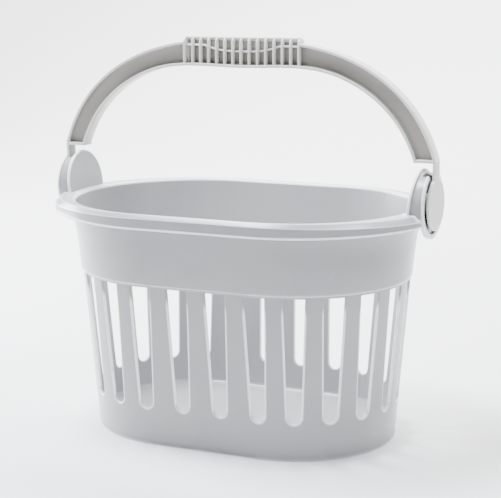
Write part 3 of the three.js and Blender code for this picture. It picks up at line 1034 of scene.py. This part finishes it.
@dataclass
class Handle:
    """The handle moulding: I-section arch, ribbed grip, end ribs, straps, discs and socket tubes.

    Sizes are millimetres; the arch is a superellipse, and a half is half of a width across the handle.
    """

    half: float = 5.65
    flange: float = 2.15
    web: float = 2.0
    section_round: float = 0.45
    section_fillet: float = 0.7
    arch_half: float = 162.16
    arch_foot: float = 157.82
    arch_rise: float = 145.89
    arch_power: float = 2.55
    arch_start: float = 0.3
    arch_steps: int = 132
    # Beyond this angle the arch is too far from the crown for the grip.
    crown_start: float = 1.0
    arm_depth: float = 16.54
    crown_depth: float = 5.3
    crown_reach: float = 86.67
    arm_end: float = 216.5
    arm_end_inner: float = 137.9
    arm_end_room: float = 0.9
    strap_outer: float = 155.1
    strap: float = 2.2
    pivot: float = 185.7
    disc_radius: float = 19.2
    disc_fillet: float = 1.8
    disc_edge: float = 0.45
    disc_flat: float = 1.4
    disc_facets: int = 72
    # The strap's top corners, as drops from its top
    strap_corner: Flat = (0.3, 0.8)
    block_round: float = 0.4
    socket_radius: float = 8.0
    socket_inner: float = 5.1
    socket_start: float = 144.4
    socket_round: float = 0.4
    socket_sunk: float = 0.3
    grip_half: float = 47.6
    grip_top: float = 305.0
    grip_ribs: int = 13
    # The arch has a close pair of rows this far on either side of each end of the grip.
    grip_seam: float = 0.2
    web_rise: float = 0.3
    web_round: float = 0.2
    web_flats: Numbers = (0.8, 1.6, 2.4)
    # The grip's web stands this far proud of the arch's.
    overlap: float = 0.06
    rib_thick: float = 1.3
    end_rib_thick: float = 1.6
    rib_edge: float = 0.5
    # A rib's outline: half widths and lengths of its bends at the foot and at the top
    rib_foot_half: float = 3.2
    rib_foot_bend: float = 3.6
    rib_top_half: float = 2.0
    rib_top_bend: float = 5.2
    crown: float = 1.7
    crown_half: float = 2.6
    crown_round: float = 0.7
    crown_corner: float = 0.3
    ledge_height: float = 299.2
    ledge_dip: float = 4.4
    ledge_reach: float = 31.0
    ledge_thick: float = 1.3
    ledge_half: float = 3.7
    ledge_round: float = 0.3
    ledge_steps: int = 56
    # Faces that would lie on each other are drawn in by this, so that only one shows.
    tuck: float = 0.03

    def arch_row(self, turn: float) -> tuple[Flat, Flat, float]:
        """The arch at one angle.

        Args:
            turn: angle round the arch's curve.

        Returns:
            The outside point, the outward normal and the depth of the section, in x and z.
        """
        power = self.arch_power
        across, up = abs(math.cos(turn)) ** (2 / power), math.sin(turn) ** (2 / power)
        side = math.copysign(1.0, math.cos(turn))
        x, z = side * self.arch_half * across, self.arch_foot + self.arch_rise * up
        normal = Vector((
            side * across ** (power - 1) / self.arch_half, up ** (power - 1) / self.arch_rise,
        )).normalized()
        share = min(abs(x) / self.crown_reach, 1.0)
        depth = self.arm_depth + self.crown_depth * math.cos(QUARTER_TURN * share) ** 2
        return (x, z), (normal.x, normal.y), depth

    def section(self, depth: float, top_half: float) -> list[Flat]:
        """The I-section as (across, depth) points, anticlockwise from the top's front corner.

        Args:
            depth: full depth of the section.
            top_half: half the width of the top flange.

        Returns:
            The outline with its corners rounded and its inner corners filled.
        """
        corner, web = quarter_round(self.section_round, 3), self.web / 2

        def flange(sign: float, start: float, way: float, half: float) -> list[Flat]:
            """Half a flange on one side: outer corner, inner corner, fillet to the web."""
            far = start + way * self.flange
            fill = quarter_round(min(self.section_fillet, half - web), 3)
            points = [(sign * (half - b), start + way * d) for b, d in corner]
            points += [(sign * (half - b), far - way * d) for b, d in reversed(corner)]
            return points + [(sign * (web + b), far + way * d) for b, d in fill]

        right_top, left_top = flange(1, 0.0, 1, top_half), flange(-1, 0.0, 1, top_half)
        right_low, left_low = flange(1, depth, -1, self.half), flange(-1, depth, -1, self.half)
        return right_top + right_low[::-1] + left_low + left_top[::-1]

    def turns(self) -> list[float]:
        """Angles of the arch's rows, with a close pair at each end of the grip."""
        rows = steps(self.arch_start, math.pi - self.arch_start, self.arch_steps)
        for x in (self.grip_half - self.grip_seam, self.grip_half + self.grip_seam):
            turn = math.acos((x / self.arch_half) ** (self.arch_power / 2))
            rows += [turn, math.pi - turn]
        return sorted(rows)

    def under_side(self, x: float) -> float:
        """Height of the arch's inside near the crown."""
        points = []
        for turn in steps(self.crown_start, math.pi - self.crown_start, self.arch_steps):
            (outer, z), (nx, nz), depth = self.arch_row(turn)
            points.append((abs(abs(outer - nx * depth) - abs(x)), z - nz * depth))
        return min(points)[1]

    def arch(self) -> Shell:
        """The arch from one arm's end to the other."""
        shell, rows = Shell(), []
        limit, room = self.strap_outer - self.tuck, self.arm_end + self.arm_end_room
        for turn in self.turns():
            (x, z), (nx, nz), depth = self.arch_row(turn)
            top_half = self.web / 2 if abs(x) < self.grip_half else self.half
            rows.append([
                (max(min(x - nx * down, limit), -limit), across, max(z - nz * down, room))
                for across, down in self.section(depth, top_half)
            ])
        shell.solid(rows)
        return shell

    def rib_outline(self, foot: float, back: float) -> list[Flat]:
        """A grip rib's outline in (y, z).

        Args:
            foot: height of its foot, in the lower flange.
            back: how far the outline is drawn in.

        Returns:
            The points, from the foot's front round the top to the foot's back.
        """
        top, half = self.grip_top - self.crown / 2, self.half - back
        low, high = foot + back, top - back
        foot_bend, top_bend = foot + self.rib_foot_bend, top - self.rib_top_bend
        points: list[Flat] = []

        def bend(start: Flat, mid: Flat, end: Flat, count: int) -> None:
            for t in steps(0.0, 1.0, count):
                y, z = [
                    (1 - t) ** 2 * start[i] + 2 * t * (1 - t) * mid[i] + t * t * end[i] for i in (0, 1)
                ]
                points.append((y, z))

        bend((self.rib_foot_half, low), (half, low), (half, foot_bend), 6)
        bend((half, top_bend), (half, high), (self.rib_top_half, high), 10)
        return points + [(-y, z) for y, z in reversed(points)]

    def grip(self) -> Shell:
        """The ribbed grip: web, crown, ribs and the curved ledge behind them."""
        shell = Shell()
        ends, top, web = self.grip_half, self.grip_top, self.web / 2 + self.overlap
        foot = self.under_side(ends) + self.web_rise
        shell.block(
            (-ends, -web, foot), (ends, web, top - self.crown / 2), 1, self.web_round, self.block_round,
            self.web_flats,
        )
        low, high = (-ends, -self.crown_half, top - self.crown), (ends, self.crown_half, top)
        shell.block(low, high, 1, self.crown_round, self.crown_corner)
        last = self.grip_ribs + 1
        for i, middle in enumerate(steps(-ends, ends, last)):
            half = (self.end_rib_thick if i in (0, last) else self.rib_thick) / 2
            sunk = self.under_side(middle) + self.flange / 2
            shell.plate(partial(self.rib_outline, sunk), (middle - half, middle + half), 0, self.rib_edge)
        self.ledge(shell)
        return shell

    def ledge(self, shell: Shell) -> None:
        """The curved ledge that runs behind the ribs on both faces of the web."""
        half, edge = self.ledge_half, self.ledge_round
        rows = []
        for x in steps(-self.grip_half, self.grip_half, self.ledge_steps):
            top = self.ledge_height - self.ledge_dip * max(1 - (abs(x) / self.ledge_reach) ** 3, 0.0)
            low = top - self.ledge_thick
            front = [(half - edge, top), (half, top - edge), (half, low + edge), (half - edge, low)]
            rows.append([(x, y, z) for y, z in front + [(-y, z) for y, z in reversed(front)]])
        shell.solid(rows)

    def lollipop(self, back: float) -> list[Flat]:
        """The disc with its strap, in (y, z), drawn in by a distance."""
        radius, half = self.disc_radius - back, self.half - self.tuck - back
        top = self.arm_end + self.flange - back
        fillet = self.disc_fillet + back
        centre_y = half + fillet
        centre_z = math.sqrt((radius + fillet) ** 2 - centre_y ** 2)
        meet = math.atan2(centre_z, centre_y)
        height = self.pivot + centre_z
        small, large = self.strap_corner
        strap = [(half, top - large), (half, top - small), (half - small, top)]
        disc = arc((0.0, self.pivot), radius, steps(math.pi - meet, FULL_TURN + meet, self.disc_facets))
        right = arc((centre_y, height), fillet, steps(math.pi + meet, math.pi, 5)[1:])
        left = arc((-centre_y, height), fillet, steps(0.0, -meet, 5)[:-1])
        return disc + right + strap + [(-y, z) for y, z in reversed(strap)] + left

    def end(self) -> Shell:
        """The right-hand end: strap and disc, end rib and socket tube."""
        shell = Shell()
        outer, foot, half = self.strap_outer, self.arm_end, self.half - 2 * self.tuck
        inner = outer - self.strap
        shell.plate(self.lollipop, (inner, outer), 0, self.disc_edge, (self.disc_flat,))
        low, high = (self.arm_end_inner, -half, foot), (outer - self.strap / 2, half, foot + self.flange)
        shell.block(low, high, 2, self.block_round, self.block_round)
        mouth, start = quarter_round(self.socket_round, 3), self.socket_start
        profile = [(self.socket_radius, inner + self.socket_sunk)]
        profile += [(self.socket_radius - back, start + depth) for back, depth in reversed(mouth)]
        profile += [(self.socket_inner + back, start + depth) for back, depth in mouth]
        shell.spin(profile + [(self.socket_inner, inner)], self.pivot)
        return shell

    def build(self, material: Material) -> None:
        """Make and place the handle's pieces in one finish."""
        end = self.end()
        meshes = [
            self.arch().mesh("handle_arch"), self.grip().mesh("handle_grip"),
            end.mesh("handle_end_right"), end.turned().mesh("handle_end_left"),
        ]
        for mesh in meshes:
            place(mesh, "handle", material, "handle")


# The studio


@dataclass(frozen=True)
class Lamp:
    """A soft rectangular lamp: where it stands, what it faces, its size in millimetres and its beam."""

    name: str
    place: Solid
    aim: Solid
    size: Flat
    watts: float
    colour: str = "#f3f7ff"
    # The beam's angle, in degrees
    spread: float = 180.0

    def build(self) -> None:
        """Put the lamp in the scene."""
        light = bpy.data.lights.new(self.name, "AREA")
        light.shape = "RECTANGLE"
        light.size, light.size_y = self.size[0] * MM, self.size[1] * MM
        light.energy = self.watts
        light.color = linear(self.colour)[:3]
        light.spread = math.radians(self.spread)
        lamp = link(self.name, light)
        lamp.location = Vector(self.place) * MM
        aim = (Vector(self.aim) - Vector(self.place)).normalized()
        lamp.rotation_euler = aim.to_track_quat("-Z", "Y").to_euler()


@dataclass
class Studio:
    """A pale floor, soft lamps and the camera at the photographed angle."""

    picture_width: float = 501.0
    camera_place: Solid = (472.5, -1032.1, 364.4)
    azimuth: float = 24.36
    elevation: float = 11.13
    roll: float = -0.35
    focal_pixels: float = 1484.83
    sensor_mm: float = 36.0
    nearest: float = 0.05
    farthest: float = 20.0
    sweep_front: float = 3500.0
    sweep_back: float = 900.0
    sweep_half: float = 3000.0
    sweep_bend: float = 1500.0
    sweep_height: float = 1500.0
    sweep_rows: int = 24
    sweep_columns: int = 12
    sky_strength: float = 0.08
    lamps: tuple[Lamp, ...] = (
        Lamp("lamp_over", (-380.0, -120.0, 1350.0), (0.0, 0.0, 150.0), (700.0, 320.0), 52.0),
        Lamp(
            "lamp_back", (-250.0, 2000.0, 2300.0), (-250.0, 1700.0, 0.0), (3400.0, 1800.0), 210.0,
            colour="#ffffff", spread=90.0,
        ),
        Lamp("lamp_left", (-1300.0, 200.0, 450.0), (0.0, 0.0, 120.0), (800.0, 750.0), 72.0),
        Lamp("lamp_glint", (-520.0, -150.0, 1250.0), (0.0, 0.0, 170.0), (500.0, 70.0), 10.0),
        Lamp("lamp_right", (620.0, -160.0, 1150.0), (0.0, 0.0, 150.0), (500.0, 320.0), 18.0),
    )

    def camera(self) -> None:
        """Place the camera."""
        side, up, tilt = [math.radians(turn) for turn in (self.azimuth, self.elevation, self.roll)]
        level = Vector((math.cos(side), math.sin(side), 0.0))
        back = Vector((math.sin(side) * math.cos(up), -math.cos(side) * math.cos(up), math.sin(up)))
        steep = back.cross(level)
        right = level * math.cos(tilt) + steep * math.sin(tilt)
        top = steep * math.cos(tilt) - level * math.sin(tilt)
        lens = bpy.data.cameras.new("camera")
        lens.sensor_width = self.sensor_mm
        lens.lens = self.focal_pixels / self.picture_width * self.sensor_mm
        lens.clip_start, lens.clip_end = self.nearest, self.farthest
        eye = link("camera", lens)
        turn = Matrix((right, top, back)).transposed().to_4x4()
        eye.matrix_world = Matrix.Translation(Vector(self.camera_place) * MM) @ turn
        bpy.context.scene.camera = eye

    def sweep(self) -> None:
        """Lay a pale paper sweep: a floor that curves up behind the basket."""
        shell = Shell()
        back, bend = self.sweep_back, self.sweep_bend
        line = [(y, 0.0) for y in steps(-self.sweep_front, back, self.sweep_rows)]
        line += arc((back, bend), bend, steps(-QUARTER_TURN, 0.0, self.sweep_rows)[1:])
        line.append((back + bend, bend + self.sweep_height))
        across = steps(-self.sweep_half, self.sweep_half, self.sweep_columns)
        shell.loft([[(x, y, z) for x in across] for y, z in line], closed=False)
        mesh = shell.mesh("studio_sweep")
        if mesh.polygons[0].normal.z < 0:
            mesh.flip_normals()
        mesh.materials.append(BackgroundPaper().build())
        sweep = link("studio_sweep", mesh)

    def sky(self) -> None:
        """Fill the room with soft white light."""
        world = bpy.data.worlds.new("studio_light")
        bpy.context.scene.world = world
        add = partial(add_node, cleared(world))
        glow = add("Background", {"Color": linear("#ffffff"), "Strength": self.sky_strength})
        add("OutputWorld", {"Surface": glow})

    def build(self) -> None:
        """Set up the camera, the sweep and the lamps."""
        self.camera()
        self.sweep()
        self.sky()
        for lamp in self.lamps:
            lamp.build()


def main() -> None:
    """Build the studio, the basket and the handle in order."""
    logging.basicConfig(level=logging.INFO, format="%(message)s")
    Studio().build()
    Basket(Tub(), Ear()).build(Finish.TUB.value.build())
    Handle().build(Finish.HANDLE.value.build())


if __name__ == "__main__":
    main()
